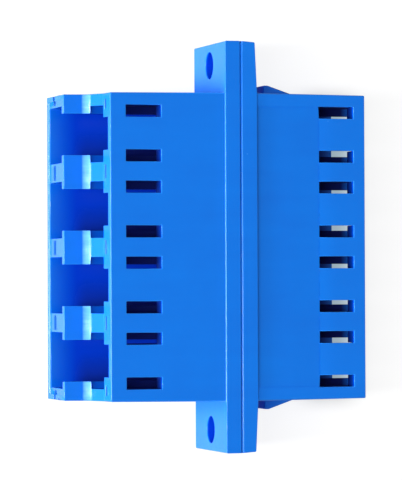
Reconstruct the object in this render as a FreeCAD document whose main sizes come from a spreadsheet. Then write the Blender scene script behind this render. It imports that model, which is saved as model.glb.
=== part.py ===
import FreeCAD, Part
import math
import os
import Sketcher

# Four-port fibre adapter: two welded housing halves and four split sleeves.
#
# Frame: X runs along the row of ports, Y along the plugs, Z up to the latch side.
# The front ports face -Y. The origin is the middle of the two screw holes,
# on the weld seam. Every body is drawn with z = 0 on the face that the adapter
# rests on, and its placement then lowers it by the height of the screw holes.

# Driving sizes in millimetres: name, value, meaning
SIZES = [
    ("port_count", 4, "ports side by side"),
    ("port_pitch", 6.25, "from port to port"),
    ("plug_width", 4.68, "space for the plug body"),
    ("plug_height", 4.6, "space for the plug body, up to the ledges"),
    ("floor_wall", 0.55, "wall under the plug space"),
    ("end_wall", 0.97, "wall beside the outer ports, at the mouth"),
    ("side_draft", 0.12, "how much further out each short side is at the flange"),
    ("ledge_gap", 3.44, "between the two ledges over the plug body"),
    ("ledge_thickness", 0.75, "the ledges that carry the latch"),
    ("latch_width", 4.66, "space for the shoulders of the latch"),
    ("latch_height", 1.65, "space for the shoulders of the latch"),
    ("lever_width", 2.68, "slot for the lever of the latch"),
    ("lever_height", 1.15, "slot for the lever of the latch"),
    ("lever_roof", 0.6, "wall over the lever slot"),
    ("front_reach", 14.3, "seam to the front of the lower part"),
    ("brow_reach", 11.2, "seam to the front edge of the latch face"),
    ("brow_rake", 0.15, "lower edge of the brow, ahead of its upper edge"),
    ("nose_length", 2.0, "flat top of the lower part, ahead of the slope"),
    ("nose_fillet", 0.8, "hollow between the flat top and the slope"),
    ("rear_reach", 10.85, "seam to the rear face"),
    ("seam_wall", 1.4, "wall across the ports, in each half"),
    ("latch_mouth", 12.1, "seam to the front end of the latch space, behind the hollow"),
    ("mouth_lead", 0.14, "how far the front leans back down to the floor's bevel"),
    ("lead_margin", 0.43, "short sides to the ends of the leaning front"),
    ("flange_proud", 0.1, "flange above the latch face"),
    ("flange_front", 1.34, "thickness of the front half of the flange"),
    ("flange_rear", 1.4, "thickness of the rear half of the flange"),
    ("tab_draft", 0.19, "how much thinner the rear half is at the tab ends"),
    ("tab_lean", 0.1, "how much shorter the tabs are on the rear side"),
    ("seam_chamfer", 0.11, "chamfer along the seam, on the long edges of the flange"),
    ("screw_spacing", 30.62, "from screw hole to screw hole"),
    ("screw_radius", 1.13, "screw hole"),
    ("tab_end", 1.79, "screw hole's axis to the end of its tab"),
    ("screw_height", 4.6, "screw holes above the resting face"),
    ("window_start", 6.84, "seam to the inner end of the latch windows"),
    ("window_length", 3.02, "latch windows"),
    ("panel_depth", 0.08, "shallow panel in the rear half of the latch face"),
    ("panel_margin", 1.0, "panel to the short sides"),
    ("ramp_gap", 1.48, "flange to the snap ramps, where the mounting panel sits"),
    ("ramp_rise", 0.8, "snap ramps above the short sides"),
    ("ramp_crest", 0.36, "flat crest of the snap ramps"),
    ("ramp_slope", 2.6, "length of the snap ramps' slope"),
    ("ramp_width", 3.6, "snap ramps across the short sides"),
    ("sleeve_bore", 0.62, "inner radius of a split sleeve"),
    ("sleeve_wall", 0.19, "wall of a split sleeve"),
    ("sleeve_length", 6.8, "split sleeve"),
    ("sleeve_slot", 0.3, "slot along a split sleeve"),
    ("sleeve_play", 0.02, "radial clearance of a sleeve in its holder"),
    ("sleeve_float", 0.05, "end clearance of a sleeve in its holder"),
    ("holder_wall", 0.6, "wall of a sleeve holder"),
    ("holder_chamfer", 0.2, "chamfer round the end of a sleeve holder"),
    ("lip_bore", 0.7, "radius of the hole in a sleeve holder's lip, next to the sleeve"),
    ("lip_length", 0.45, "lip that keeps the sleeve in"),
    ("lip_lead", 0.2, "how much wider the lip's hole is at its mouth"),
    ("pin_radius", 0.5, "alignment pins on the seam"),
    ("pin_length", 0.8, "alignment pins on the seam"),
    ("pin_play", 0.03, "clearance of the alignment pins"),
    ("pin_margin", 1.5, "alignment pins below the latch face"),
    ("mark_depth", 0.25, "depth of the small coring marks in the front faces"),
    ("web_mark_length", 0.9, "coring marks in the lower front of each web"),
    ("web_mark_width", 0.75, "coring marks in the lower front of each web"),
    ("web_mark_height", 2.45, "coring marks in the lower front, above the resting face"),
    ("side_mark_length", 0.6, "the same marks where they open on the short sides"),
    ("brow_mark_length", 1.13, "coring marks in the brow"),
    ("brow_mark_width", 0.36, "coring marks in the brow"),
    ("brow_mark_rise", 0.42, "coring marks above the lower edge of the brow"),
    ("end_mark_length", 0.75, "the same marks over the end walls"),
    ("end_mark_inset", 0.46, "short sides to the marks over the end walls"),
]

# Sizes that follow from the driving ones: name, formula
DERIVED = [
    ("flange_length", "screw_spacing + 2 * tab_end"),
    ("first_port", "-port_pitch * (port_count - 1) / 2"),
    ("row_length", "port_pitch * (port_count - 1)"),
    ("ledge_bottom", "floor_wall + plug_height"),
    ("ledge_top", "ledge_bottom + ledge_thickness"),
    ("brow_bottom", "ledge_top + latch_height"),
    ("lever_top", "brow_bottom + lever_height"),
    ("body_height", "lever_top + lever_roof"),
    ("flange_height", "body_height + flange_proud"),
    ("mouth_half", "row_length / 2 + plug_width / 2 + end_wall"),
    ("root_half", "mouth_half + side_draft"),
    ("plug_axis", "floor_wall + plug_height / 2"),
    ("sleeve_outer", "sleeve_bore + sleeve_wall"),
    ("seat_radius", "sleeve_outer + sleeve_play"),
    ("seat_depth", "sleeve_length / 2 + sleeve_float"),
    ("holder_radius", "seat_radius + holder_wall"),
    ("holder_reach", "seat_depth + lip_length"),
    ("pin_place", "(row_length / 2 + plug_width / 2 + screw_spacing / 2 - screw_radius) / 2"),
    ("ramp_start", "flange_rear + ramp_gap"),
    ("ramp_end", "ramp_start + ramp_crest + ramp_slope"),
    ("slope_start", "front_reach - nose_length"),
    ("lower_edge", "brow_reach + brow_rake"),
]


def make_sheet(doc):
    """Write the driving sizes, and the sizes that follow from them, into the sheet."""
    sheet = doc.addObject("Spreadsheet::Sheet", "Sizes")
    for row, (name, value, meaning) in enumerate(SIZES, start=1):
        sheet.set(f"A{row}", meaning)
        sheet.set(f"B{row}", str(value))
        sheet.setAlias(f"B{row}", name)
    doc.recompute()
    for row, (name, formula) in enumerate(DERIVED, start=len(SIZES) + 1):
        sheet.set(f"A{row}", name)
        sheet.set(f"B{row}", "=" + formula)
        sheet.setAlias(f"B{row}", name)
        doc.recompute()
    return sheet


class Modeller:
    """Builds one body, feature by feature, from outlines tied to the sheet."""

    def __init__(self, doc, sheet, name):
        self.doc = doc
        self.sheet = sheet
        self.body = doc.addObject("PartDesign::Body", name)
        self.body.Label = name
        self.body.setExpression(".Placement.Base.z", "-Sizes.screw_height")

    def size(self, name):
        """A size from the sheet, as a number."""
        return float(self.sheet.get(name))

    def sketch(self, name, plane, right="0", up="0", out="0"):
        """An empty sketch on an origin plane, moved by three formulas of its own axes."""
        sketch = self.body.newObject("Sketcher::SketchObject", name)
        for feature in self.body.Origin.OriginFeatures:
            if feature.Role == plane:
                sketch.AttachmentSupport = [(feature, "")]
        sketch.MapMode = "FlatFace"
        for axis, formula in zip("xyz", (right, up, out)):
            sketch.setExpression(f".AttachmentOffset.Base.{axis}", formula)
        return sketch

    def place(self, sketch, geometry, point, formulas):
        """Tie a point of a sketch to two formulas, one for each axis."""
        axes = (("DistanceX", -2, formulas[0]), ("DistanceY", -1, formulas[1]))
        for kind, line, formula in axes:
            if formula == "0":
                sketch.addConstraint(Sketcher.Constraint("PointOnObject", geometry, point, line))
                continue
            number = sketch.addConstraint(Sketcher.Constraint(kind, -1, 1, geometry, point, 1.0))
            sketch.setExpression(f"Constraints[{number}]", formula)

    def outline(self, sketch, corners):
        """A closed outline of straight lines through corners given as pairs of formulas."""
        count = len(corners)
        first = sketch.GeometryCount
        turn = 2 * math.pi / count
        ring = [FreeCAD.Vector(math.cos(turn * i), math.sin(turn * i), 0) for i in range(count)]
        for i in range(count):
            sketch.addGeometry(Part.LineSegment(ring[i], ring[(i + 1) % count]))
        for i in range(count):
            following = first + (i + 1) % count
            sketch.addConstraint(Sketcher.Constraint("Coincident", first + i, 2, following, 1))
        for i, corner in enumerate(corners):
            self.place(sketch, first + i, 1, corner)

    def box(self, sketch, left, bottom, right, top):
        """A rectangle between two corners given as formulas."""
        self.outline(sketch, [(left, bottom), (right, bottom), (right, top), (left, top)])

    def circle(self, sketch, across, up, radius):
        """A circle with its centre and radius given as formulas."""
        start = Part.Circle(FreeCAD.Vector(0.5, 0.5, 0), FreeCAD.Vector(0, 0, 1), 1.0)
        number = sketch.addGeometry(start)
        self.place(sketch, number, 3, (across, up))
        size = sketch.addConstraint(Sketcher.Constraint("Radius", number, 1.0))
        sketch.setExpression(f"Constraints[{size}]", radius)

    def extrude(self, kind, name, sketch, length=None, reverse=False, middle=False):
        """A pad or pocket of a sketch; a pocket without a length goes through all."""
        feature = self.body.newObject(f"PartDesign::{kind}", name)
        feature.Profile = sketch
        feature.Reversed = reverse
        feature.Midplane = middle
        if length is None:
            feature.Type = "ThroughAll"
        else:
            feature.setExpression("Length", length)
        self.settle(kind == "Pad")
        return feature

    def revolve(self, kind, name, sketch):
        """A full turn of a sketch about its own horizontal axis, added or cut away."""
        feature = self.body.newObject(f"PartDesign::{kind}", name)
        feature.Profile = sketch
        feature.ReferenceAxis = (sketch, ["H_Axis"])
        feature.Angle = 360
        self.settle(kind == "Revolution")
        return feature

    def settle(self, adds):
        """Recompute, and make sure that the last feature changed the solid as it should."""
        before = getattr(self, "volume", 0.0)
        self.doc.recompute()
        self.volume = self.body.Shape.Volume
        changed = self.volume - before
        if (changed if adds else -changed) <= 1e-6:
            raise RuntimeError(f"{self.body.Tip.Label} left {self.body.Label} as it was")

    def repeat_ports(self, name, features):
        """Copy the features of the first port to the other ports."""
        pattern = self.body.newObject("PartDesign::LinearPattern", name)
        pattern.Originals = features
        for feature in self.body.Origin.OriginFeatures:
            if feature.Role == "X_Axis":
                pattern.Direction = (feature, [""])
        pattern.setExpression("Length", "Sizes.row_length")
        pattern.setExpression("Occurrences", "Sizes.port_count")
        self.body.Tip = pattern
        self.doc.recompute()
        self.volume = self.body.Shape.Volume

    def edges(self, wanted):
        """Names of the straight edges along X whose two ends both pass a test."""
        names = []
        for number, edge in enumerate(self.body.Tip.Shape.Edges, start=1):
            ends = [vertex.Point for vertex in edge.Vertexes]
            if len(ends) == 2 and all(wanted(end) for end in ends):
                if near(ends[0].y, ends[1].y) and near(ends[0].z, ends[1].z):
                    names.append(f"Edge{number}")
        return names

    def dress(self, kind, name, names, prop, formula):
        """A fillet or chamfer on the named edges of the last feature."""
        base = self.body.Tip
        feature = self.body.newObject(f"PartDesign::{kind}", name)
        feature.Base = (base, names)
        feature.setExpression(prop, formula)
        self.doc.recompute()
        self.volume = self.body.Shape.Volume


def near(value, target):
    """Whether two lengths agree within a hundredth of a millimetre."""
    return abs(value - target) < 0.01


def add_block(model, side, reach):
    """The housing half between the seam and its open end, slightly tapered in plan."""
    plan = model.sketch("block_plan", "XY_Plane")
    model.outline(plan, [
        ("-Sizes.root_half", "0"),
        ("Sizes.root_half", "0"),
        ("Sizes.mouth_half", f"{side} * {reach}"),
        ("-Sizes.mouth_half", f"{side} * {reach}"),
    ])
    model.extrude("Pad", "block", plan, "Sizes.body_height")


def add_flange(model, side, thickness, draft, lean):
    """Half of the flange, drawn in plan so that its tabs can thin towards their ends."""
    tip = f"{side} * ({thickness} - {draft})"
    root = f"{side} * {thickness}"
    plan = model.sketch("flange_plan", "XY_Plane")
    model.outline(plan, [
        ("-Sizes.flange_length / 2", "0"),
        ("Sizes.flange_length / 2", "0"),
        (f"Sizes.flange_length / 2 - {lean}", tip),
        ("Sizes.root_half", root),
        ("-Sizes.root_half", root),
        (f"{lean} - Sizes.flange_length / 2", tip),
    ])
    model.extrude("Pad", "flange", plan, "Sizes.flange_height")
    seam = model.edges(lambda end: near(end.y, 0) and (
        near(abs(end.x), model.size("flange_length") / 2)))
    model.dress("Chamfer", "seam_chamfer", seam, "Size", "Sizes.seam_chamfer")


def cut_step(model):
    """Set the latch side of the front back: flat nose, hollow, slope and upright brow."""
    profile = model.sketch("step_profile", "YZ_Plane")
    model.outline(profile, [
        ("-Sizes.slope_start", "Sizes.ledge_top"),
        ("-Sizes.lower_edge", "Sizes.brow_bottom"),
        ("-Sizes.brow_reach", "Sizes.body_height"),
        ("-Sizes.brow_reach", "Sizes.body_height + 1"),
        ("-Sizes.front_reach - 1", "Sizes.body_height + 1"),
        ("-Sizes.front_reach - 1", "Sizes.ledge_top"),
    ])
    model.extrude("Pocket", "step", profile, middle=True)
    corner = model.edges(lambda end: near(end.y, -model.size("slope_start"))
                         and near(end.z, model.size("ledge_top")))
    model.dress("Fillet", "step_hollow", corner, "Radius", "Sizes.nose_fillet")


def cut_port(model, side):
    """The first port of a half: plug space, ledges, latch space, lever slot, windows."""
    front = side < 0
    cavity = model.sketch("port_section", "XZ_Plane", "Sizes.first_port", "0",
                          f"{-side} * Sizes.seam_wall")
    section = [
        ("Sizes.plug_width / 2", "Sizes.floor_wall"),
        ("Sizes.plug_width / 2", "Sizes.ledge_bottom"),
        ("Sizes.ledge_gap / 2", "Sizes.ledge_bottom"),
        ("Sizes.ledge_gap / 2", "Sizes.brow_bottom"),
    ]
    mirrored = [("-" + across, up) for across, up in reversed(section)]
    model.outline(cavity, section + mirrored)
    space = model.extrude("Pocket", "plug_space", cavity, reverse=front)

    shoulders = model.sketch("latch_section", "XZ_Plane", "Sizes.first_port", "0",
                             f"{-side} * Sizes.seam_wall")
    model.box(shoulders, "-Sizes.latch_width / 2", "Sizes.ledge_top",
              "Sizes.latch_width / 2", "Sizes.brow_bottom")
    length = "Sizes.latch_mouth - Sizes.seam_wall" if front else None
    latch = model.extrude("Pocket", "latch_space", shoulders, length, reverse=front)

    lever = model.sketch("lever_section", "XZ_Plane", "Sizes.first_port", "0",
                         f"{-side} * Sizes.window_start")
    model.box(lever, "-Sizes.lever_width / 2", "Sizes.brow_bottom - 0.5 * Sizes.latch_height",
              "Sizes.lever_width / 2", "Sizes.lever_top")
    slot = model.extrude("Pocket", "lever_slot", lever, reverse=front)

    inner = f"{side} * Sizes.window_start"
    outer = f"{side} * (Sizes.window_start + Sizes.window_length)"
    plan = model.sketch("window_plan", "XY_Plane", "Sizes.first_port", "0", "Sizes.body_height")
    model.box(plan, "Sizes.lever_width / 2", inner, "Sizes.latch_width / 2", outer)
    model.box(plan, "-Sizes.latch_width / 2", inner, "-Sizes.lever_width / 2", outer)
    windows = model.extrude("Pocket", "latch_windows", plan,
                            "Sizes.body_height - Sizes.brow_bottom + 0.5 * Sizes.latch_height")
    return [space, latch, slot, windows]


def add_sleeve_holder(model, side):
    """The tube that stands in the first port and keeps one end of its sleeve."""
    place = ("Sizes.plug_axis", "Sizes.first_port")
    tube = model.sketch("holder_profile", "YZ_Plane", "0", *place)
    model.outline(tube, [
        (f"{side} * 0.5 * Sizes.seam_wall", "0"),
        (f"{side} * 0.5 * Sizes.seam_wall", "Sizes.holder_radius"),
        (f"{side} * (Sizes.holder_reach - Sizes.holder_chamfer)", "Sizes.holder_radius"),
        (f"{side} * Sizes.holder_reach", "Sizes.holder_radius - Sizes.holder_chamfer"),
        (f"{side} * Sizes.holder_reach", "0"),
    ])
    holder = model.revolve("Revolution", "sleeve_holder", tube)
    bore = model.sketch("seat_profile", "YZ_Plane", "0", *place)
    model.outline(bore, [
        ("0", "0"),
        ("0", "Sizes.seat_radius"),
        (f"{side} * Sizes.seat_depth", "Sizes.seat_radius"),
        (f"{side} * Sizes.seat_depth", "Sizes.lip_bore"),
        (f"{side} * Sizes.holder_reach", "Sizes.lip_bore + Sizes.lip_lead"),
        (f"{side} * Sizes.holder_reach", "0"),
    ])
    seat = model.revolve("Groove", "sleeve_seat", bore)
    return [holder, seat]


def cut_screw_holes(model, side):
    """The two holes through the tabs of the flange."""
    holes = model.sketch("screw_holes_plan", "XZ_Plane")
    for sign in ("-", ""):
        model.circle(holes, f"{sign}Sizes.screw_spacing / 2", "Sizes.screw_height",
                     "Sizes.screw_radius")
    model.extrude("Pocket", "screw_holes", holes, reverse=side < 0)


def place_pins(model, radius):
    """A sketch with the two alignment pins, between the outer ports and the screws."""
    plan = model.sketch("pin_plan", "XZ_Plane")
    for sign in ("-", ""):
        model.circle(plan, f"{sign}Sizes.pin_place", "Sizes.body_height - Sizes.pin_margin",
                     radius)
    return plan


def cut_front_marks(model):
    """The small coring marks in the lower front and in the brow of each wall."""
    lower = model.sketch("web_mark_plan", "XZ_Plane", "0", "0",
                         "Sizes.front_reach - Sizes.mark_depth")
    bottom = "Sizes.web_mark_height - Sizes.web_mark_width / 2"
    top = "Sizes.web_mark_height + Sizes.web_mark_width / 2"
    webs = int(model.size("port_count")) - 1
    for web in range(webs):
        centre = f"(Sizes.first_port + {web + 0.5} * Sizes.port_pitch)"
        model.box(lower, f"{centre} - Sizes.web_mark_length / 2", bottom,
                  f"{centre} + Sizes.web_mark_length / 2", top)
    side = "(Sizes.mouth_half - Sizes.side_mark_length)"
    model.box(lower, side, bottom, "Sizes.root_half + 1", top)
    model.box(lower, "-Sizes.root_half - 1", bottom, "-" + side, top)
    model.extrude("Pocket", "web_marks", lower, reverse=True)

    brow = model.sketch("brow_mark_plan", "XZ_Plane", "0", "0",
                        "Sizes.brow_reach - Sizes.mark_depth")
    bottom = "Sizes.brow_bottom + Sizes.brow_mark_rise"
    top = bottom + " + Sizes.brow_mark_width"
    for web in range(webs):
        centre = f"(Sizes.first_port + {web + 0.5} * Sizes.port_pitch)"
        model.box(brow, f"{centre} - Sizes.brow_mark_length / 2", bottom,
                  f"{centre} + Sizes.brow_mark_length / 2", top)
    outer = "(Sizes.mouth_half - Sizes.end_mark_inset)"
    model.box(brow, f"{outer} - Sizes.end_mark_length", bottom, outer, top)
    model.box(brow, f"-{outer}", bottom, f"Sizes.end_mark_length - {outer}", top)
    model.extrude("Pocket", "brow_marks", brow, reverse=True)


def cut_mouth_lead(model):
    """The front leans back from the ledges to the floor, whose edge is bevelled."""
    profile = model.sketch("lead_profile", "YZ_Plane")
    model.outline(profile, [
        ("-Sizes.front_reach", "Sizes.ledge_top"),
        ("Sizes.mouth_lead - Sizes.front_reach", "Sizes.floor_wall"),
        ("-Sizes.front_reach", "Sizes.floor_wall - Sizes.mouth_lead"),
        ("-Sizes.front_reach - 1", "Sizes.floor_wall - Sizes.mouth_lead"),
        ("-Sizes.front_reach - 1", "Sizes.ledge_top"),
    ])
    model.extrude("Pocket", "mouth_lead", profile,
                  "2 * (Sizes.mouth_half - Sizes.lead_margin)", middle=True)


def cut_latch_panel(model):
    """The shallow panel in the latch face, between the flange and the windows."""
    plan = model.sketch("panel_plan", "XY_Plane", "0", "0", "Sizes.body_height")
    half = "(Sizes.mouth_half - Sizes.panel_margin)"
    model.box(plan, "-" + half, "Sizes.flange_rear", half, "Sizes.window_start")
    model.extrude("Pocket", "latch_panel", plan, "Sizes.panel_depth")


def add_snap_ramps(model):
    """The ramps on the short sides that snap behind the mounting panel."""
    plan = model.sketch("ramp_plan", "XY_Plane", "0", "0",
                        "(Sizes.body_height - Sizes.ramp_width) / 2")
    for sign in ("", "-"):
        crest = f"{sign}(Sizes.root_half + Sizes.ramp_rise)"
        inside = f"{sign}(Sizes.mouth_half - Sizes.end_wall / 2)"
        model.outline(plan, [
            (inside, "Sizes.ramp_start"),
            (crest, "Sizes.ramp_start"),
            (crest, "Sizes.ramp_start + Sizes.ramp_crest"),
            (f"{sign}Sizes.mouth_half", "Sizes.ramp_end"),
            (inside, "Sizes.ramp_end"),
        ])
    model.extrude("Pad", "snap_ramps", plan, "Sizes.ramp_width")


def front_housing(doc, sheet):
    """The half with the stepped front: it carries the alignment pins."""
    model = Modeller(doc, sheet, "front_housing")
    add_block(model, -1, "Sizes.front_reach")
    cut_step(model)
    add_flange(model, -1, "Sizes.flange_front", "0", "0")
    port = cut_port(model, -1) + add_sleeve_holder(model, -1)
    model.repeat_ports("ports", port)
    cut_screw_holes(model, -1)
    model.extrude("Pad", "pins", place_pins(model, "Sizes.pin_radius"), "Sizes.pin_length",
                  reverse=True)
    cut_front_marks(model)
    cut_mouth_lead(model)
    return model.body


def rear_housing(doc, sheet):
    """The half with the flat rear face: it carries the snap ramps and the pin holes."""
    model = Modeller(doc, sheet, "rear_housing")
    add_block(model, 1, "Sizes.rear_reach")
    add_flange(model, 1, "Sizes.flange_rear", "Sizes.tab_draft", "Sizes.tab_lean")
    add_snap_ramps(model)
    port = cut_port(model, 1) + add_sleeve_holder(model, 1)
    model.repeat_ports("ports", port)
    cut_screw_holes(model, 1)
    holes = place_pins(model, "Sizes.pin_radius + Sizes.pin_play")
    model.extrude("Pocket", "pin_holes", holes, "Sizes.pin_length + Sizes.pin_play")
    cut_latch_panel(model)
    return model.body


def split_sleeve(doc, sheet, number):
    """A slotted ceramic tube, free in its holder, that lines two ferrules up."""
    model = Modeller(doc, sheet, f"split_sleeve_{number}")
    across = f"Sizes.first_port + {number - 1} * Sizes.port_pitch"
    ring = model.sketch("ring", "XZ_Plane", across, "Sizes.plug_axis")
    model.circle(ring, "0", "0", "Sizes.sleeve_outer")
    model.circle(ring, "0", "0", "Sizes.sleeve_bore")
    model.extrude("Pad", "tube", ring, "Sizes.sleeve_length", middle=True)
    slot = model.sketch("slot_plan", "XZ_Plane", across, "Sizes.plug_axis")
    model.box(slot, "-Sizes.sleeve_slot / 2", "0", "Sizes.sleeve_slot / 2",
              "Sizes.sleeve_outer + 0.1")
    model.extrude("Pocket", "slot", slot, middle=True)
    return model.body


def check(doc, bodies):
    """Stop if an object of the document failed or a body has no valid solid."""
    for item in doc.Objects:
        if "Invalid" in item.State or "Error" in item.State:
            raise RuntimeError(f"{item.Label} failed: {item.State}")
    for body in bodies:
        shape = body.Shape
        if shape.isNull() or not shape.isValid() or len(shape.Solids) != 1:
            raise RuntimeError(f"{body.Label} is not one valid solid")
        box = shape.BoundBox
        print(f"{body.Label}: volume {shape.Volume:.3f}, "
              f"x {box.XMin:.3f}..{box.XMax:.3f}, y {box.YMin:.3f}..{box.YMax:.3f}, "
              f"z {box.ZMin:.3f}..{box.ZMax:.3f}")


def main():
    doc = FreeCAD.newDocument("fibre_adapter")
    sheet = make_sheet(doc)
    bodies = [front_housing(doc, sheet), rear_housing(doc, sheet)]
    for number in range(1, int(sheet.get("port_count")) + 1):
        bodies.append(split_sleeve(doc, sheet, number))
    doc.recompute()
    check(doc, bodies)
    os.makedirs("parts", exist_ok=True)
    for body in bodies:
        body.Shape.exportStep(f"parts/{body.Label}.step")


main()
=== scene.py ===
"""Studio scene of a flanged fibre adapter with four ports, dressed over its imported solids."""

import logging
import math
from contextlib import contextmanager
from dataclasses import dataclass
from enum import Enum
from typing import Iterator, Sequence

import bmesh
import bpy
from mathutils import Matrix, Vector


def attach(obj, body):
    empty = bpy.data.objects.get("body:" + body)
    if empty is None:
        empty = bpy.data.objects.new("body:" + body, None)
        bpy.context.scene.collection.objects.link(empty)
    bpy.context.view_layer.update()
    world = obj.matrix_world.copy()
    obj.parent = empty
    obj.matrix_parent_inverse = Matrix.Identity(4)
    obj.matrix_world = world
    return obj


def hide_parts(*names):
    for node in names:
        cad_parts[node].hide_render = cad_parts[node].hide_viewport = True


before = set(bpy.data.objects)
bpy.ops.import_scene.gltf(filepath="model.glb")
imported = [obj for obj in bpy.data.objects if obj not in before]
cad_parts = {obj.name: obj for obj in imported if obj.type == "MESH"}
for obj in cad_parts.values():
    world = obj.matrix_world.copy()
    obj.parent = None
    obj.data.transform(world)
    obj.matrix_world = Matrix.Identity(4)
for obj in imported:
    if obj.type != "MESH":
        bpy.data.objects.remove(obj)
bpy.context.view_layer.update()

log = logging.getLogger("adapter_scene")

# What several pieces and finishes share: sizes in metres, and the brow's lean per height
MM = 0.001
PORTS = 4
PORT_PITCH = 6.25 * MM
REST_Z = -4.6 * MM
LATCH_FACE = 4.7 * MM
BROW_REACH = 11.2 * MM
BROW_SLOPE = 0.15 / 1.75
FLUSH = 0.01 * MM

WHITE = (1.0, 1.0, 1.0, 1.0)

Colour = tuple[float, float, float, float]
Triple = tuple[float, float, float]
Span = tuple[float, float]
Feed = bpy.types.NodeSocket | float | Colour | Triple


# Modelling helpers


def only(obj: bpy.types.Object) -> None:
    """Select one object alone and make it the active one.

    Args:
        obj: The object to select.
    """
    bpy.ops.object.select_all(action="DESELECT")
    obj.select_set(True)
    bpy.context.view_layer.objects.active = obj


@contextmanager
def editing(obj: bpy.types.Object) -> Iterator[None]:
    """Open an object in edit mode with nothing selected, and close it afterwards.

    Args:
        obj: The mesh object to edit.
    """
    only(obj)
    bpy.ops.object.mode_set(mode="EDIT")
    bpy.ops.mesh.select_mode(type="VERT")
    bpy.ops.mesh.select_all(action="DESELECT")
    yield
    bpy.ops.object.mode_set(mode="OBJECT")


def use_modifier(obj: bpy.types.Object, kind: str, **settings: object) -> None:
    """Add a modifier to an object, set it up and apply it.

    Args:
        obj: The object that gets the modifier.
        kind: The modifier's type.
        **settings: Its properties and their values.
    """
    only(obj)
    modifier = obj.modifiers.new(kind.lower(), kind)
    for name, value in settings.items():
        setattr(modifier, name, value)
    bpy.ops.object.modifier_apply(modifier=modifier.name)


# Node helpers


class Graph:
    """A node tree that is filled one node at a time."""

    def __init__(self, tree: bpy.types.NodeTree) -> None:
        """Take the tree that the nodes go into."""
        self.tree = tree

    def add(self, kind: str, feeds: dict[str | int, Feed] | None = None,
            **settings: object) -> bpy.types.Node:
        """Add a node, set its properties and feed its inputs.

        Args:
            kind: The node's type.
            feeds: A socket or a plain value for each input, by the input's name or number.
            **settings: Its properties and their values.

        Returns:
            The new node.
        """
        node = self.tree.nodes.new(kind)
        for name, value in settings.items():
            setattr(node, name, value)
        for key, feed in (feeds or {}).items():
            if isinstance(feed, bpy.types.NodeSocket):
                self.tree.links.new(feed, node.inputs[key])
            else:
                node.inputs[key].default_value = feed
        return node

    def math(self, operation: str, *feeds: Feed, clamp: bool = False) -> bpy.types.NodeSocket:
        """Work out one value with a Math node.

        Args:
            operation: The node's operation.
            *feeds: Its values, as sockets or plain numbers.
            clamp: Whether the result is kept between 0 and 1.

        Returns:
            The result's socket.
        """
        return self.add("ShaderNodeMath", dict(enumerate(feeds)), operation=operation,
                        use_clamp=clamp).outputs[0]

    def product(self, *feeds: Feed) -> bpy.types.NodeSocket:
        """Multiply two or more values.

        Args:
            *feeds: The values, as sockets or plain numbers.

        Returns:
            The result's socket.
        """
        result = feeds[0]
        for feed in feeds[1:]:
            result = self.math("MULTIPLY", result, feed)
        return result

    def ramp(self, feed: Feed, span: Span, low: Feed = 0.0, high: Feed = 1.0,
             soft: bool = False) -> bpy.types.NodeSocket:
        """Carry a value from one end to the other while it crosses a span.

        Args:
            feed: The value.
            span: Where the ramp starts and ends.
            low: The result before the span.
            high: The result after the span.
            soft: Whether the ramp eases in and out.

        Returns:
            The result's socket.
        """
        return self.add("ShaderNodeMapRange", {0: feed, 1: span[0], 2: span[1], 3: low, 4: high},
                        interpolation_type="SMOOTHSTEP" if soft else "LINEAR").outputs[0]

    def blend(self, share: Feed, first: Feed, second: Feed) -> bpy.types.NodeSocket:
        """Mix two values: the result is the second one where the share is 1."""
        return self.add("ShaderNodeMix", {0: share, 2: first, 3: second}).outputs[0]

    def tint(self, share: Feed, first: Feed, second: Feed) -> bpy.types.NodeSocket:
        """Mix two colours: the result is the second one where the share is 1."""
        return self.add("ShaderNodeMix", {0: share, 6: first, 7: second},
                        data_type="RGBA").outputs[2]

    def axes(self, vector: bpy.types.NodeSocket) -> list[bpy.types.NodeSocket]:
        """The X, Y and Z of a vector, each as a socket."""
        return list(self.add("ShaderNodeSeparateXYZ", {0: vector}).outputs)

    def seen_directly(self) -> bpy.types.NodeSocket:
        """A mask that is 1 where the camera, a reflection or glass looks at a surface.

        Returns:
            The mask's socket.
        """
        path = self.add("ShaderNodeLightPath").outputs
        first = self.math("MAXIMUM", path["Is Camera Ray"], path["Is Glossy Ray"])
        return self.math("MAXIMUM", first, path["Is Transmission Ray"])


def new_material(name: str) -> tuple[bpy.types.Material, Graph]:
    """Make an empty node material.

    Args:
        name: The material's name.

    Returns:
        The material and its nodes.
    """
    made = bpy.data.materials.new(name)
    made.use_nodes = True
    made.node_tree.nodes.clear()
    return made, Graph(made.node_tree)


# Shared effects


class Socket(Enum):
    """The kinds of socket that the shared effects use."""

    VALUE = "NodeSocketFloat"
    COLOUR = "NodeSocketColor"
    VECTOR = "NodeSocketVector"


class Effect(Graph):
    """A shader node group with named inputs and outputs, built once."""

    def __init__(self, name: str) -> None:
        """Make the empty group with its two end nodes.

        Args:
            name: The group's name.
        """
        super().__init__(bpy.data.node_groups.new(name, "ShaderNodeTree"))
        self.start = self.tree.nodes.new("NodeGroupInput")
        self.end = self.tree.nodes.new("NodeGroupOutput")

    def takes(self, name: str, kind: Socket, value: float | None = None) -> None:
        """Give the group an input.

        Args:
            name: The input's name.
            kind: What it carries.
            value: Its value while nothing is linked.
        """
        socket = self.tree.interface.new_socket(name=name, in_out="INPUT", socket_type=kind.value)
        if value is not None:
            socket.default_value = value

    def gives(self, name: str, kind: Socket, source: bpy.types.NodeSocket) -> None:
        """Give the group an output, linked to a socket inside it.

        Args:
            name: The output's name.
            kind: What it carries.
            source: The socket that feeds it.
        """
        self.tree.interface.new_socket(name=name, in_out="OUTPUT", socket_type=kind.value)
        self.tree.links.new(source, self.end.inputs[name])


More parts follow.
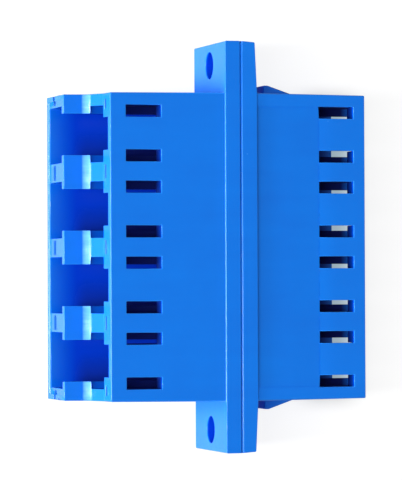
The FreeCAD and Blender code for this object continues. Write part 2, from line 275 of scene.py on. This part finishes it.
class MouldSkin(Effect):
    """The cloudiness, the fine grain and the few specks of dust on moulded plastic."""

    flow_stretch: Triple = (1.0, 0.12, 1.0)
    flow_scale: float = 900.0
    gloss_share: float = 0.5
    speck_scale: float = 300.0
    speck_rim: Span = (0.008, 0.022)
    speck_choice: float = 0.55

    def __init__(self) -> None:
        """Build the group: tone, gloss and height vary over it, and specks lie on it."""
        super().__init__("mould_skin")
        self.takes("Vector", Socket.VECTOR)
        self.takes("Cloud scale", Socket.VALUE, 220.0)
        self.takes("Grain scale", Socket.VALUE, 5200.0)
        self.takes("Streak", Socket.VALUE, 0.35)
        given = self.start.outputs
        cloud = self.noise(given["Vector"], given["Cloud scale"], detail=3.0, roughness=0.55)
        grain = self.noise(given["Vector"], given["Grain scale"], detail=2.0, roughness=0.6)
        drawn = self.add("ShaderNodeMapping", {
            "Vector": given["Vector"], "Scale": self.flow_stretch}).outputs[0]
        flow = self.noise(drawn, self.flow_scale, detail=2.0, roughness=0.5)
        self.gives("Tone", Socket.VALUE, self.blend(given["Streak"], cloud, flow))
        self.gives("Gloss", Socket.VALUE, self.blend(self.gloss_share, cloud, grain))
        self.gives("Height", Socket.VALUE, grain)
        self.gives("Speck", Socket.VALUE, self.specks())

    def noise(self, vector: bpy.types.NodeSocket, scale: Feed, detail: float,
              roughness: float) -> bpy.types.NodeSocket:
        """Lay a noise pattern.

        Args:
            vector: Where it is read.
            scale: How fine it is.
            detail: How many finer layers it has.
            roughness: How strong the finer layers are.

        Returns:
            Its value.
        """
        return self.add("ShaderNodeTexNoise", {
            "Vector": vector, "Scale": scale, "Detail": detail,
            "Roughness": roughness}).outputs["Fac"]

    def specks(self) -> bpy.types.NodeSocket:
        """Small round specks, in some of the cells of a loose pattern.

        Returns:
            Their mask.
        """
        cell = self.add("ShaderNodeTexVoronoi", {
            "Vector": self.start.outputs["Vector"], "Scale": self.speck_scale})
        round_speck = self.ramp(cell.outputs["Distance"], self.speck_rim, 1.0, 0.0)
        chance = self.add("ShaderNodeSeparateColor", {0: cell.outputs["Color"]})
        chosen = self.math("GREATER_THAN", chance.outputs["Red"], self.speck_choice)
        return self.product(round_speck, chosen)


class EdgeHighlight(Effect):
    """A colour with a painted highlight on rounded edges, uneven over a surface."""

    tone_span: Span = (0.3, 0.7)

    def __init__(self) -> None:
        """Build the group, which gives the mixed colour."""
        super().__init__("edge_highlight")
        for name in ("Colour", "Deep", "Pale"):
            self.takes(name, Socket.COLOUR)
        self.takes("Tone", Socket.VALUE, 0.5)
        self.takes("Edge", Socket.VALUE, 0.0)
        self.takes("Edge share", Socket.VALUE, 0.4)
        given = self.start.outputs
        wide = self.ramp(given["Tone"], self.tone_span)
        body = self.tint(wide, given["Deep"], given["Colour"])
        share = self.product(given["Edge"], given["Edge share"])
        self.gives("Colour", Socket.COLOUR, self.tint(share, body, given["Pale"]))


@dataclass(frozen=True)
class MarkRow:
    """A row of coring marks, one in the middle of each web.

    The mask is the part of a mark that the finish darkens with painted shade. Its place is how
    far along Y its middle lies, followed along the lean of the face that it is cut in down to z =
    0.
    """

    level: float
    half_width: float
    inner_end: float
    mask_place: float
    mask_depth: float
    mask_level: float
    lean: float = 0.0
    half_height: float = 0.48 * MM
    mask_height: float = 0.42 * MM

    def holds(self, point: Vector) -> bool:
        """Whether a point lies in or right beside one of the marks.

        Args:
            point: The point, in the adapter's frame.

        Returns:
            True inside the room that the row's sizes give each mark.
        """
        web = min(abs(point.x - k * PORT_PITCH) for k in range(-(PORTS // 2), PORTS // 2 + 1))
        return (abs(point.z - self.level) < self.half_height and point.y < self.inner_end
                and web < self.half_width)


WEB_MARKS = MarkRow(level=-2.15 * MM, half_width=0.62 * MM, inner_end=-13.9 * MM,
                    mask_place=-14.135 * MM, mask_depth=0.13 * MM, mask_level=-2.145 * MM)
BROW_MARKS = MarkRow(level=3.55 * MM, half_width=1.1 * MM, inner_end=0.4 * MM - BROW_REACH,
                     mask_place=0.19 * MM - BROW_REACH - LATCH_FACE * BROW_SLOPE,
                     mask_depth=0.175 * MM, mask_level=3.55 * MM, lean=BROW_SLOPE)


class PaintedCavityShade(Effect):
    """Painted shade by how deep a point lies in the ports, the latch spaces and the screw holes.

    Each mask goes from 0 at the mouths to 1 well inside, and the finish darkens its colour by it,
    as painted shade in these spaces and in the coring marks. The group's inputs are the places of
    the spaces in the adapter's frame, just inside their faces, and the runs over which the masks
    grow.
    """

    millimetres: tuple[tuple[str, float], ...] = (
        ("Front mouth", -14.3), ("Rear mouth", 10.85), ("Port run", 2.4), ("Side", 12.6),
        ("Floor", -4.5), ("Ledge", 0.9), ("Ledge top", 1.5), ("Hollow end", -12.08),
        ("Shelf run", 2.6), ("Brow", -10.6), ("Latch run", 1.0), ("Latch face", 4.66),
        ("Window depth", 1.7), ("Window start", 6.835), ("Window top", 4.63),
        ("Lip run", 0.05), ("Port end", -9.2), ("Far run", 1.6), ("Lit side", 1.3),
        ("Holder reach", 4.0), ("Holder run", 0.8), ("Screw place", 15.31),
        ("Screw radius", 1.16), ("Flange face", -1.34), ("Screw run", 0.2))
    # Shares of the painted shade on the shelves and window walls, of the painted light left on
    # one strip of the port floors, and of the painted shadow in their front corner
    shelf_share: float = 0.3
    wall_share: float = 0.7
    lit_share: float = 0.8
    corner_share: float = 0.8
    corner_aside: Span = (-0.6 * MM, 2.4 * MM)
    corner_ahead: Span = (-12.6 * MM, -10.9 * MM)
    depth_curve: float = 0.65

    def __init__(self) -> None:
        """Build the group, with a painted-shade mask of the ports, of the latch spaces and of the
        marks.
        """
        super().__init__("painted_cavity_shade")
        self.takes("Vector", Socket.VECTOR)
        self.takes("Port pitch", Socket.VALUE, PORT_PITCH)
        for name, value in self.millimetres:
            self.takes(name, Socket.VALUE, value * MM)
        self.given = self.start.outputs
        self.x, self.y, self.z = self.axes(self.given["Vector"])
        self.across = self.math("ABSOLUTE", self.x)
        self.along = self.math("ABSOLUTE", self.y)
        self.within = self.below(self.across, "Side")
        self.high = self.above(self.z, "Ledge")
        self.low = self.product(self.within, self.above(self.z, "Floor"),
                                self.below(self.z, "Ledge"))
        self.turn = self.math("FLOORED_MODULO", self.x, self.given["Port pitch"])
        self.middle = self.product(self.given["Port pitch"], 0.5)
        to_latch = self.reach("Brow", "Latch run")
        port = self.math("MAXIMUM", self.port(to_latch), self.screw())
        self.gives("Port shade", Socket.VALUE, self.math("POWER", port, self.depth_curve))
        ahead = self.grown(self.math("SUBTRACT", self.along, self.given["Holder reach"]),
                           "Holder run")
        sunk = self.grown(self.math("SUBTRACT", self.given["Latch face"], self.z),
                          "Window depth")
        latch = self.product(self.within, self.high, sunk, to_latch)
        self.gives("Latch shade", Socket.VALUE,
                   self.product(ahead, self.math("MAXIMUM", latch, self.far_floor())))
        self.gives("Mark shade", Socket.VALUE,
                   self.math("ADD", self.marks(WEB_MARKS), self.marks(BROW_MARKS)))

    def above(self, value: bpy.types.NodeSocket, place: str) -> bpy.types.NodeSocket:
        """A mask that is 1 where a value is more than one of the group's inputs."""
        return self.math("GREATER_THAN", value, self.given[place])

    def below(self, value: bpy.types.NodeSocket, place: str) -> bpy.types.NodeSocket:
        """A mask that is 1 where a value is less than one of the group's inputs."""
        return self.math("LESS_THAN", value, self.given[place])

    def grown(self, value: bpy.types.NodeSocket, run: str) -> bpy.types.NodeSocket:
        """How far a value has come on one of the group's runs, from 0 to 1."""
        return self.math("DIVIDE", value, self.given[run], clamp=True)

    def reach(self, front: str, run: str) -> bpy.types.NodeSocket:
        """Depth behind the nearer mouth, from 0 there to 1 after a run.

        Args:
            front: The input that says where the space starts in front.
            run: The input that says how far the depth grows.

        Returns:
            The mask.
        """
        nearer = self.math("MINIMUM", self.math("SUBTRACT", self.y, self.given[front]),
                           self.math("SUBTRACT", self.given["Rear mouth"], self.y))
        return self.grown(nearer, run)

    def port(self, to_latch: bpy.types.NodeSocket) -> bpy.types.NodeSocket:
        """Painted shade by depth in the plug spaces, on the ledges and on the walls of the
        windows.

        Args:
            to_latch: Depth behind the brow, or behind the rear mouth.

        Returns:
            The mask.
        """
        plug = self.product(self.low, self.reach("Front mouth", "Port run"))
        on_ledge = self.product(self.high, self.below(self.z, "Ledge top"))
        shelf = self.product(self.within, on_ledge, self.above(self.y, "Hollow end"),
                             self.reach("Front mouth", "Shelf run"), self.shelf_share)
        lip = self.grown(self.math("SUBTRACT", self.given["Window top"], self.z), "Lip run")
        wall = self.product(self.within, self.math("SUBTRACT", self.high, on_ledge), lip,
                            self.above(self.along, "Window start"), to_latch, self.wall_share)
        return self.math("MAXIMUM", self.math("MAXIMUM", plug, shelf), wall)

    def screw(self) -> bpy.types.NodeSocket:
        """Painted shade by depth in the screw holes.

        Returns:
            The mask.
        """
        aside = self.math("SUBTRACT", self.across, self.given["Screw place"])
        spread = self.add("ShaderNodeCombineXYZ", {"X": aside, "Y": self.z}).outputs[0]
        radius = self.add("ShaderNodeVectorMath", {0: spread},
                          operation="LENGTH").outputs["Value"]
        behind = self.math("SUBTRACT", self.y, self.given["Flange face"])
        return self.product(self.below(radius, "Screw radius"), self.grown(behind, "Screw run"))

    def far_floor(self) -> bpy.types.NodeSocket:
        """Painted shade on the floors of the ports: far in, and a painted shadow in one corner in
        front.

        A strip along one side of the front ports gets less of it, as painted light.

        Returns:
            The mask.
        """
        ahead = self.math("LESS_THAN", self.y, 0.0)
        beside = self.above(self.math("SUBTRACT", self.middle, self.turn), "Lit side")
        shaded = self.math("MULTIPLY_ADD", self.product(ahead, beside), -self.lit_share, 1.0)
        far = self.product(self.low, self.reach("Port end", "Far run"), shaded)
        aside = self.ramp(self.math("SUBTRACT", self.turn, self.middle), self.corner_aside,
                          high=self.corner_share)
        to_brow = self.ramp(self.y, self.corner_ahead, soft=True)
        corner = self.product(self.low, aside, to_brow, self.below(self.y, "Port end"))
        return self.math("MAXIMUM", far, corner)

    def marks(self, row: MarkRow) -> bpy.types.NodeSocket:
        """A painted-shade mask of the insides of a row of coring marks.

        Args:
            row: The marks.

        Returns:
            The mask.
        """
        off_middle = self.math("ABSOLUTE", self.math("SUBTRACT", self.middle, self.turn))
        off_web = self.math("SUBTRACT", self.middle, off_middle)
        upright = self.math("MULTIPLY_ADD", self.z, -row.lean, self.y)
        return self.product(
            self.math("LESS_THAN", off_web, row.half_width),
            self.math("COMPARE", upright, row.mask_place, row.mask_depth),
            self.math("COMPARE", self.z, row.mask_level, row.mask_height))


class PaintedHollowHighlight(Effect):
    """A painted highlight on the hollow behind the flat nose."""

    begin: Span = (-12.80 * MM, -12.62 * MM)
    stop: Span = (-12.14 * MM, -12.02 * MM)
    low: Span = (1.2 * MM, 1.28 * MM)
    top: Span = (1.68 * MM, 1.82 * MM)
    stretch: Triple = (1.0, 0.08, 0.2)
    streak_scale: float = 3600.0
    streak_span: Span = (0.25, 0.75)
    least: float = 0.45

    def __init__(self) -> None:
        """Build the group: its mask is streaked along the way that a plug goes in."""
        super().__init__("painted_hollow_highlight")
        self.takes("Vector", Socket.VECTOR)
        vector = self.start.outputs["Vector"]
        _, y, z = self.axes(vector)
        drawn = self.add("ShaderNodeMapping", {"Vector": vector, "Scale": self.stretch})
        streak = self.add("ShaderNodeTexNoise", {
            "Vector": drawn.outputs[0], "Scale": self.streak_scale, "Detail": 3.0,
            "Roughness": 0.7}).outputs["Fac"]
        self.gives("Highlight", Socket.VALUE, self.product(
            self.ramp(streak, self.streak_span, low=self.least),
            self.ramp(y, self.begin, soft=True),
            self.ramp(y, self.stop, 1.0, 0.0, soft=True),
            self.ramp(z, self.low),
            self.ramp(z, self.top, 1.0, 0.0)))


class SharedEffects:
    """The effects that the finishes share."""

    def __init__(self) -> None:
        """Build the groups."""
        self.skin = MouldSkin().tree
        self.edge = EdgeHighlight().tree
        self.inside = PaintedCavityShade().tree
        self.painted_highlight = PaintedHollowHighlight().tree


# Finishes


@dataclass(frozen=True)
class Finish:
    """A surface finish: its colours, with painted shade in the cavities and marks and painted
    highlights on edges and in the hollow, its gloss and the grain that the mould leaves.
    """

    name: str
    colour: Colour
    deep: Colour
    pale: Colour
    port_shade: Colour
    latch_shade: Colour
    mark_shade: Colour
    highlight_colour: Colour
    rough_low: float
    rough_high: float
    rough_deep: float
    specular: float
    grain_scale: float
    grain_depth: float
    edge_highlight_share: float
    dust_share: float
    gloss_span: Span = (0.25, 0.75)

    def material(self, effects: SharedEffects) -> bpy.types.Material:
        """Build the finish as a node material.

        Args:
            effects: The shared node groups.

        Returns:
            The new material.
        """
        made, graph = new_material(self.name)
        place = graph.add("ShaderNodeTexCoord").outputs["Object"]
        # Mask of the painted highlight on the rounded edges
        edge = graph.add("ShaderNodeAttribute", attribute_name="painted_edge_highlight").outputs["Fac"]
        skin = graph.add("ShaderNodeGroup", {"Vector": place, "Grain scale": self.grain_scale},
                         node_tree=effects.skin).outputs
        # Masks of painted shade in the ports, the latch spaces, the screw holes and the coring
        # marks
        inside = graph.add("ShaderNodeGroup", {"Vector": place},
                           node_tree=effects.inside).outputs
        # Mask of the painted highlight in the hollow
        painted_highlight = graph.add("ShaderNodeGroup", {"Vector": place}, node_tree=effects.painted_highlight).outputs
        colour = graph.add("ShaderNodeGroup", {
            "Colour": self.colour, "Deep": self.deep, "Pale": self.pale, "Tone": skin["Tone"],
            "Edge": edge, "Edge share": self.edge_highlight_share},
            node_tree=effects.edge).outputs["Colour"]
        # Over the dust specks: painted shade in the ports, the latch spaces and the coring marks,
        # then a painted highlight in the hollow
        for mask, tint in ((graph.product(skin["Speck"], self.dust_share), self.pale),
                           (inside["Port shade"], self.port_shade),
                           (inside["Latch shade"], self.latch_shade),
                           (inside["Mark shade"], self.mark_shade),
                           (painted_highlight["Highlight"], self.highlight_colour)):
            colour = graph.tint(mask, colour, tint)
        gloss = graph.ramp(skin["Gloss"], self.gloss_span, self.rough_low, self.rough_high)
        dull = graph.math("MAXIMUM", inside["Latch shade"], inside["Mark shade"])
        bump = graph.add("ShaderNodeBump", {
            "Height": skin["Height"], "Strength": 1.0, "Distance": self.grain_depth})
        shader = graph.add("ShaderNodeBsdfPrincipled", {
            "Base Color": colour, "Roughness": graph.blend(dull, gloss, self.rough_deep),
            "Specular IOR Level": self.specular, "Normal": bump.outputs["Normal"]})
        graph.add("ShaderNodeOutputMaterial", {"Surface": shader.outputs["BSDF"]})
        return made


HOUSING_BLUE = Finish(
    name="housing_blue",
    colour=(0.003, 0.185, 0.78, 1.0), deep=(0.003, 0.163, 0.73, 1.0),
    # pale serves the dust specks and the painted edge highlight; then painted shade for the
    # ports, the latch spaces and the coring marks, and a painted highlight for the hollow
    pale=(0.05, 0.30, 0.84, 1.0), port_shade=(0.0005, 0.044, 0.60, 1.0),
    latch_shade=(0.0, 0.006, 0.11, 1.0), mark_shade=(0.0, 0.075, 0.36, 1.0),
    highlight_colour=(0.13, 0.42, 0.88, 1.0), rough_low=0.17, rough_high=0.25, rough_deep=0.75,
    specular=0.14, grain_scale=5200.0, grain_depth=0.0015 * MM, edge_highlight_share=0.15,
    dust_share=0.6)

SLEEVE_WHITE = Finish(
    name="sleeve_white",
    colour=(0.86, 0.85, 0.80, 1.0), deep=(0.80, 0.79, 0.73, 1.0),
    # pale serves the dust specks and the painted edge highlight; then painted shade for the
    # ports, the latch spaces and the coring marks, and a painted highlight for the hollow
    pale=(0.93, 0.92, 0.89, 1.0), port_shade=(0.74, 0.73, 0.68, 1.0),
    latch_shade=(0.74, 0.73, 0.68, 1.0), mark_shade=(0.74, 0.73, 0.68, 1.0),
    highlight_colour=(0.86, 0.85, 0.80, 1.0), rough_low=0.10, rough_high=0.18, rough_deep=0.18,
    specular=0.6, grain_scale=9000.0, grain_depth=0.0004 * MM, edge_highlight_share=0.3,
    dust_share=0.2)


@dataclass(frozen=True)
class Paper:
    """White paper that keeps the object's shadow, and is clear when seen from below.

    The camera sees it glow, less so behind the rear face, where a painted shadow with a painted
    blue bounce dims it. Reflections see a darker sheet, with painted shade beside the ends of the
    housing.
    """

    level: float = 0.62
    fibre_scale: float = 400.0
    fibre_depth: float = 0.01
    glow: float = 0.85
    shade: float = 0.25
    mirror_glow: float = 0.2
    mirror_shade: float = 0.6
    # Painted shade in the sheet that reflections see beside the ends of the housing
    painted_foot_shade: float = 0.35
    foot_aside: Span = (12.6 * MM, 15.8 * MM)
    foot_along: Span = (-9.0 * MM, -6.0 * MM)
    # Painted shadow behind the rear face, with a painted blue bounce in its middle
    lee_place: float = 10.7 * MM
    lee_run: Span = (0.5 * MM, 4.0 * MM)
    lee_aside: Span = (11.5 * MM, 14.5 * MM)
    painted_shadow_strength: float = 0.48
    painted_bounce_tint: Colour = (0.72, 0.97, 1.13, 1.0)
    tint_fade: float = 3.0

    def material(self) -> bpy.types.Material:
        """Build the paper as a node material.

        Returns:
            The new material.
        """
        made, graph = new_material("paper")
        place = graph.add("ShaderNodeTexCoord").outputs["Object"]
        x, y, _ = graph.axes(place)
        across = graph.math("ABSOLUTE", x)
        fibre = graph.add("ShaderNodeTexNoise", {
            "Vector": place, "Scale": self.fibre_scale, "Detail": 4.0}).outputs["Fac"]
        sheet = graph.add("ShaderNodeBsdfDiffuse", {"Color": graph.ramp(
            fibre, (0.0, 1.0), self.level - self.fibre_depth, self.level + self.fibre_depth)})
        # Painted shadow behind the rear face, and painted shade in the reflected sheet beside the
        # ends of the housing
        from_rear = graph.math("ABSOLUTE", graph.math("SUBTRACT", y, self.lee_place))
        beside = graph.ramp(across, self.lee_aside, 1.0, 0.0, soft=True)
        painted_shadow = graph.product(graph.ramp(from_rear, self.lee_run, 1.0, 0.0, soft=True), beside)
        foot = graph.product(graph.ramp(across, self.foot_aside, 1.0, 0.0, soft=True),
                             graph.ramp(y, self.foot_along))
        camera = graph.add("ShaderNodeLightPath").outputs["Is Camera Ray"]
        glow, shade = (
            graph.ramp(camera, (0.0, 1.0),
                       graph.ramp(foot, (0.0, 1.0), mirror, self.painted_foot_shade * mirror), direct)
            for direct, mirror in ((self.glow, self.mirror_glow),
                                   (self.shade, self.mirror_shade)))
        strength = graph.math("SUBTRACT", glow, graph.product(painted_shadow, self.painted_shadow_strength), clamp=True)
        # Painted blue bounce light in the middle of the painted shadow
        hidden = graph.product(painted_shadow, graph.math("POWER", beside, self.tint_fade))
        shine = graph.add("ShaderNodeEmission", {
            "Color": graph.tint(hidden, WHITE, self.painted_bounce_tint), "Strength": strength})
        faint = graph.add("ShaderNodeBsdfDiffuse", {"Color": shade})
        seen = graph.add("ShaderNodeAddShader", {0: faint.outputs[0], 1: shine.outputs[0]})
        mixed = graph.add("ShaderNodeMixShader", {
            0: graph.seen_directly(), 1: sheet.outputs[0], 2: seen.outputs[0]})
        clear = graph.add("ShaderNodeBsdfTransparent")
        one_sided = graph.add("ShaderNodeMixShader", {
            0: graph.add("ShaderNodeNewGeometry").outputs["Backfacing"],
            1: mixed.outputs[0], 2: clear.outputs[0]})
        graph.add("ShaderNodeOutputMaterial", {"Surface": one_sided.outputs[0]})
        return made


# The object


class Round(Enum):
    """How strongly an edge is rounded, as a share of the widest round."""

    NONE = 0.0
    FINE = 0.3
    SMALL = 0.5
    WIDE = 0.8


@dataclass
class HousingHalf:
    """One moulded half of the housing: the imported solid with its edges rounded."""

    node: str
    piece: str
    window_middle: float
    widest_round: float = 0.12 * MM
    round_steps: int = 3
    screw_level: float = 0.0
    plug_axis: float = -1.75 * MM
    flange_face: float = 4.8 * MM
    mouth_half: float = 12.685 * MM
    holder_radius: float = 0.95 * MM
    holder_reach: float = 4.0 * MM
    pin_reach: float = 0.9 * MM
    pin_place: float = 15.0 * MM
    sliver: float = 0.09 * MM
    narrow: float = 0.2 * MM
    merge_gap: float = 1e-7
    cut_gap: float = 1e-8
    sharp_angle: float = math.radians(25)
    flat_angle: float = math.radians(0.4)
    smooth_angle: float = math.radians(40)
    face_weight: int = 80

    def off_axis(self, point: Vector) -> float:
        """Distance of a point from the nearest port's axis."""
        return min(math.hypot(point.x - (i - (PORTS - 1) / 2) * PORT_PITCH,
                              point.z - self.plug_axis) for i in range(PORTS))

    def cut_planes(self) -> list[tuple[Vector, Vector]]:
        """Planes through the middle of every row of holes.

        Returns:
            Each plane as a point and a normal.
        """
        up, along = Vector((0, 0, 1)), Vector((0, 1, 0))
        return [
            (Vector((0, self.window_middle, 0)), along),
            (Vector((0, 0, self.screw_level)), up),
            (Vector((0, 0, self.plug_axis)), up),
        ]

    def copy_solid(self) -> bpy.types.Object:
        """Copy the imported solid's mesh into a new object, with its doubles merged.

        Returns:
            The new object.
        """
        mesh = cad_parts[self.node].data.copy()
        mesh.materials.clear()
        mesh.name = self.piece
        obj = bpy.data.objects.new(self.piece, mesh)
        bpy.context.scene.collection.objects.link(obj)
        with editing(obj):
            bpy.ops.mesh.select_all(action="SELECT")
            bpy.ops.mesh.remove_doubles(threshold=self.merge_gap)
        return obj

    def clean_faces(self, obj: bpy.types.Object) -> None:
        """Cut every row of holes in two, then join the triangles of each flat face.

        Args:
            obj: The copy of the solid.
        """
        with editing(obj):
            for point, normal in self.cut_planes():
                bpy.ops.mesh.select_all(action="SELECT")
                bpy.ops.mesh.bisect(plane_co=point, plane_no=normal, threshold=self.cut_gap)
                bpy.ops.mesh.mark_seam()
            bpy.ops.mesh.select_all(action="SELECT")
            bpy.ops.mesh.dissolve_limited(angle_limit=self.flat_angle, delimit={"SEAM"})

    def round_of(self, edge: bmesh.types.BMEdge) -> Round:
        """How an edge of the solid is rounded.

        Args:
            edge: The edge to look at.

        Returns:
            Its round, which is none on flat, hidden and finely divided edges.
        """
        if len(edge.link_faces) != 2 or edge.calc_face_angle(0.0) < self.sharp_angle:
            return Round.NONE
        ends = [vertex.co for vertex in edge.verts]
        middle = (ends[0] + ends[1]) / 2
        length = edge.calc_length()
        room = min(face.calc_area() for face in edge.link_faces) / length
        on_seam = all(abs(end.y) < FLUSH for end in ends)
        in_holder = (self.off_axis(middle) < self.holder_radius
                     and abs(middle.y) < self.holder_reach)
        at_pin = (abs(middle.y) < self.pin_reach and abs(middle.x) < self.pin_place
                  and length < MM)
        if room < self.sliver or on_seam or any(self.in_mark(p) for p in (middle, *ends)):
            return Round.NONE
        if room < self.narrow or all(abs(end.z - self.flange_face) < FLUSH for end in ends):
            return Round.FINE
        if in_holder or at_pin:
            return Round.NONE
        return Round.WIDE if self.is_outline(middle) else Round.SMALL

    def in_mark(self, point: Vector) -> bool:
        """Whether a point lies in a coring mark, whose edges stay crisp."""
        return False

    def is_outline(self, point: Vector) -> bool:
        """Whether a point lies on the outer edges of the half."""
        return abs(point.z - REST_Z) < FLUSH or abs(point.x) > self.mouth_half - FLUSH

    def round_edges(self, obj: bpy.types.Object) -> None:
        """Round the edges. The new faces use the second material slot.

        Args:
            obj: The cleaned copy of the solid.
        """
        with editing(obj):
            mesh = bmesh.from_edit_mesh(obj.data)
            weight = mesh.edges.layers.float.new("bevel_weight_edge")
            for edge in mesh.edges:
                edge[weight] = self.round_of(edge).value
            bmesh.update_edit_mesh(obj.data)
        use_modifier(obj, "BEVEL", width=self.widest_round, segments=self.round_steps,
                     limit_method="WEIGHT", use_clamp_overlap=False, material=1,
                     miter_outer="MITER_SHARP")

    def tag_edges(self, obj: bpy.types.Object) -> None:
        """Write the mask of the painted edge highlight onto the rounded faces, and shade the
        piece.

        Args:
            obj: The rounded piece.
        """
        with editing(obj):
            mesh = bmesh.from_edit_mesh(obj.data)
            tone = mesh.faces.layers.float.new("painted_edge_highlight")
            for face in mesh.faces:
                face[tone] = float(face.material_index == 1)
                face.material_index = 0
            bmesh.update_edit_mesh(obj.data)
        only(obj)
        bpy.ops.object.shade_smooth_by_angle(angle=self.smooth_angle)
        use_modifier(obj, "WEIGHTED_NORMAL", keep_sharp=True, weight=self.face_weight)

    def build(self, skin: bpy.types.Material) -> None:
        """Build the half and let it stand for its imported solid.

        Args:
            skin: The moulded plastic.
        """
        obj = self.copy_solid()
        self.clean_faces(obj)
        obj.data.materials.append(skin)
        obj.data.materials.append(skin)
        self.round_edges(obj)
        self.tag_edges(obj)
        obj.data.materials.pop(index=1)
        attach(obj, "root")
        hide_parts(self.node)
        log.info("%s: %d faces", self.piece, len(obj.data.polygons))


@dataclass
class FrontHalf(HousingHalf):
    """The half with the stepped front and the coring marks."""

    corner_room: float = 0.3 * MM

    def cut_planes(self) -> list[tuple[Vector, Vector]]:
        """The half's planes, and those through the two rows of coring marks.

        Returns:
            Each plane as a point and a normal.
        """
        up = Vector((0, 0, 1))
        return super().cut_planes() + [(Vector((0, 0, row.level)), up)
                                       for row in (WEB_MARKS, BROW_MARKS)]

    def in_mark(self, point: Vector) -> bool:
        """Whether a point lies in a coring mark of the webs or of the brow."""
        clear_of_end = abs(point.x) < self.mouth_half - self.corner_room
        return WEB_MARKS.holds(point) or (clear_of_end and BROW_MARKS.holds(point))

    def is_outline(self, point: Vector) -> bool:
        """Whether a point lies on the outer edges, or on the brow's long upper edge."""
        brow = abs(point.y + BROW_REACH) < FLUSH and abs(point.z - LATCH_FACE) < FLUSH
        return brow or super().is_outline(point)


@dataclass
class AlignmentSleeves:
    """The four split ceramic sleeves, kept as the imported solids."""

    nodes: tuple[str, ...]

    def build(self, ceramic: bpy.types.Material) -> None:
        """Give each sleeve its ceramic.

        Args:
            ceramic: The sleeves' material.
        """
        for name in self.nodes:
            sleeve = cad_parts[name]
            sleeve.data.materials.clear()
            sleeve.data.materials.append(ceramic)
            log.info("%s: ceramic", name)


@dataclass
class Adapter:
    """The whole adapter: both halves of the housing and the sleeves between them."""

    front: FrontHalf
    rear: HousingHalf
    sleeves: AlignmentSleeves

    def build(self, effects: SharedEffects) -> None:
        """Build and dress every piece.

        Args:
            effects: The shared node groups.
        """
        skin = HOUSING_BLUE.material(effects)
        self.front.build(skin)
        self.rear.build(skin)
        self.sleeves.build(SLEEVE_WHITE.material(effects))


# The studio


@dataclass(frozen=True)
class SoftBox:
    """A studio lamp with a flat bright face that looks at the object from a given side."""

    name: str
    azimuth: float
    elevation: float
    distance: float
    width: float
    height: float
    level: float

    def build(self) -> None:
        """Make the lamp. Its level is what a white card facing it would render as."""
        a, e = math.radians(self.azimuth), math.radians(self.elevation)
        way = Vector((math.sin(a) * math.cos(e), -math.cos(a) * math.cos(e), math.sin(e)))
        lamp = bpy.data.lights.new(self.name, "AREA")
        lamp.shape = "RECTANGLE"
        lamp.size = self.width
        lamp.size_y = self.height
        lamp.energy = self.level * math.pi ** 2 * self.distance ** 2
        obj = bpy.data.objects.new(self.name, lamp)
        obj.location = way * self.distance
        obj.rotation_mode = "QUATERNION"
        obj.rotation_quaternion = way.to_track_quat("Z", "Y")
        bpy.context.scene.collection.objects.link(obj)


@dataclass(frozen=True)
class Eye:
    """The camera, where the photograph was taken from."""

    place: Triple = (0.002969, -0.078327, 0.261942)
    right: Triple = (0.004171, 0.96019, 0.27931)
    up: Triple = (-0.999904, 0.000314, 0.013851)
    back: Triple = (0.013212, -0.27935, 0.96010)
    lens: float = 243.19
    sensor_width: float = 36.0
    clip: Span = (0.01, 20.0)

    def build(self) -> None:
        """Make the camera and look through it."""
        data = bpy.data.cameras.new("camera")
        data.sensor_width = self.sensor_width
        data.lens = self.lens
        data.clip_start, data.clip_end = self.clip
        camera = bpy.data.objects.new("camera", data)
        columns = Matrix((self.right, self.up, self.back)).transposed()
        camera.rotation_mode = "QUATERNION"
        camera.rotation_quaternion = columns.to_quaternion()
        camera.location = self.place
        bpy.context.scene.collection.objects.link(camera)
        bpy.context.scene.camera = camera


@dataclass
class Studio:
    """The pale floor, the even surroundings, the lamps and the camera."""

    floor_size: float = 3.0
    floor_gap: float = 0.02 * MM
    paper: Paper = Paper()
    tent_front: float = 0.40
    tent_back: float = 0.37
    lamps: tuple[SoftBox, ...] = (
        SoftBox("front_lamp", azimuth=2.0, elevation=5.5, distance=0.5, width=0.14,
                height=0.07, level=1.35),
        SoftBox("tall_lamp", azimuth=4.0, elevation=38.0, distance=0.5, width=0.065,
                height=0.6, level=1.05),
    )
    eye: Eye = Eye()

    def build_floor(self) -> None:
        """Lay the floor just under the resting face."""
        bpy.ops.object.select_all(action="DESELECT")
        bpy.ops.mesh.primitive_plane_add(size=self.floor_size, location=(0, 0, REST_Z))
        floor = bpy.context.active_object
        floor.name = "studio_floor"
        floor.location.z -= self.floor_gap
        floor.data.materials.append(self.paper.material())

    def build_world(self) -> None:
        """A soft tent, brighter in front, that looks white to the camera and in reflections."""
        world = bpy.data.worlds.new("surroundings")
        world.use_nodes = True
        world.node_tree.nodes.clear()
        graph = Graph(world.node_tree)
        way = graph.add("ShaderNodeTexCoord").outputs["Generated"]
        tent = graph.ramp(graph.axes(way)[1], (-1.0, 1.0), self.tent_front, self.tent_back)
        dim, white = (graph.add("ShaderNodeBackground", {"Color": WHITE, "Strength": level})
                      for level in (tent, 1.0))
        mixed = graph.add("ShaderNodeMixShader", {
            0: graph.seen_directly(), 1: dim.outputs[0], 2: white.outputs[0]})
        graph.add("ShaderNodeOutputWorld", {"Surface": mixed.outputs[0]})
        bpy.context.scene.world = world

    def build(self) -> None:
        """Build the whole studio."""
        self.build_floor()
        self.build_world()
        for lamp in self.lamps:
            lamp.build()
        self.eye.build()
        bpy.context.scene.view_settings.view_transform = "Standard"
        log.info("studio: floor, surroundings, %d lamps, camera", len(self.lamps))


def main() -> None:
    """Build the adapter and the studio."""
    logging.basicConfig(level=logging.INFO, format="%(name)s %(message)s")
    adapter = Adapter(
        front=FrontHalf("front_housing", "front_half", window_middle=-8.35 * MM),
        rear=HousingHalf("rear_housing", "rear_half", window_middle=8.35 * MM),
        sleeves=AlignmentSleeves(tuple(f"split_sleeve_{i}" for i in range(1, PORTS + 1))))
    adapter.build(SharedEffects())
    Studio().build()


if __name__ == "__main__":
    main()
